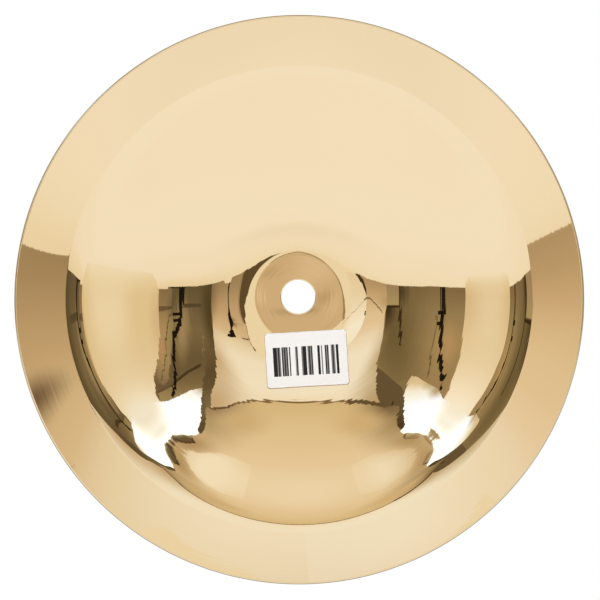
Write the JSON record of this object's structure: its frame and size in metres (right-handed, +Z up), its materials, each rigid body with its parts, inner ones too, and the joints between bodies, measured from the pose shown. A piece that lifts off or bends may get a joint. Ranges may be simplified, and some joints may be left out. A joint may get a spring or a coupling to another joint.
{
  "type": "bell cymbal",
  "caption": "Small bronze bell cymbal: a deep polished bowl with a narrow flange and a centre hole, with a paper label of plain printed bars stuck inside.",
  "frame": {"origin": "centre of the circle on which the rim rests, mouth down", "axes": "+Z up along the cymbal's axis, out through the top of the bell; +Y towards the side where the label is stuck; +X to the right of the label seen from below"},
  "size_m": [0.2032, 0.2032, 0.0396],
  "materials": {
    "bronze": "brilliant polished cast bronze, bare, with fine lathe rings",
    "paper": "white self-adhesive label paper with plain dark bars printed on it"
  },
  "bodies": {
    "root": {"cymbal": "bronze", "label": "paper"}
  },
  "joints": []
}
